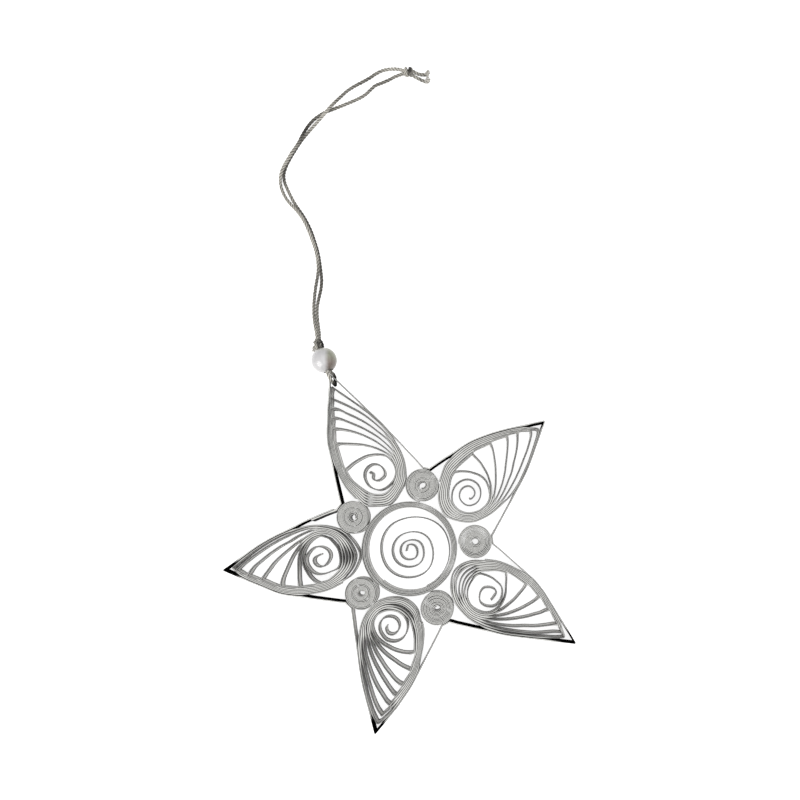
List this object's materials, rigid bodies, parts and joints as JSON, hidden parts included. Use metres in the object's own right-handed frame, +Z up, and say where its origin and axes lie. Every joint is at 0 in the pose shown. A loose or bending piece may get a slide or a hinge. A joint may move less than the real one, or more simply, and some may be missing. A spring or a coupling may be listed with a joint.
{
  "type": "paper star ornament",
  "caption": "Flat five-pointed star of rolled and pinched paper strip in a folded paper frame, with a round bead and a twisted hanging cord at its top tip.",
  "frame": {"origin": "middle of the star's box, without its cord and bead, on the surface that the star lies on", "axes": "+Z up from that surface through the star's depth, +Y towards the tip that carries the cord, +X to its right"},
  "size_m": [0.1268, 0.195, 0.0095],
  "materials": {
    "silver_paper": "pearlescent silver-grey coated paper, strips on edge",
    "twisted_cord": "matt warm grey twisted thread",
    "pearl": "pearl lacquer, smooth and glossy"
  },
  "bodies": {
    "star": {"star_frame": "silver_paper", "centre_ring": "silver_paper", "petal_1": "silver_paper", "petal_2": "silver_paper", "petal_3": "silver_paper", "petal_4": "silver_paper", "petal_5": "silver_paper", "tight_coil_1": "silver_paper", "tight_coil_2": "silver_paper", "tight_coil_3": "silver_paper", "tight_coil_4": "silver_paper", "tight_coil_5": "silver_paper"},
    "hanger": {"cord_bight": "twisted_cord", "bead_knot": "twisted_cord", "cord_strand_left": "twisted_cord", "cord_strand_right": "twisted_cord", "end_knot": "twisted_cord", "cord_tail_upper": "twisted_cord", "cord_tail_lower": "twisted_cord"},
    "bead": {"pearl_bead": "pearl"}
  },
  "joints": [
    {"name": "hanger_swing", "type": "hinge", "parent": "star", "child": "hanger", "pos_m": [-0.0002, 0.05142, 0.0048], "axis": [0, 0, 1], "range_deg": [-10, 10]},
    {"name": "bead_spin", "type": "hinge", "parent": "hanger", "child": "bead", "pos_m": [-0.00013, 0.05987, 0.004], "axis": [0, 1, 0], "continuous": true}
  ]
}
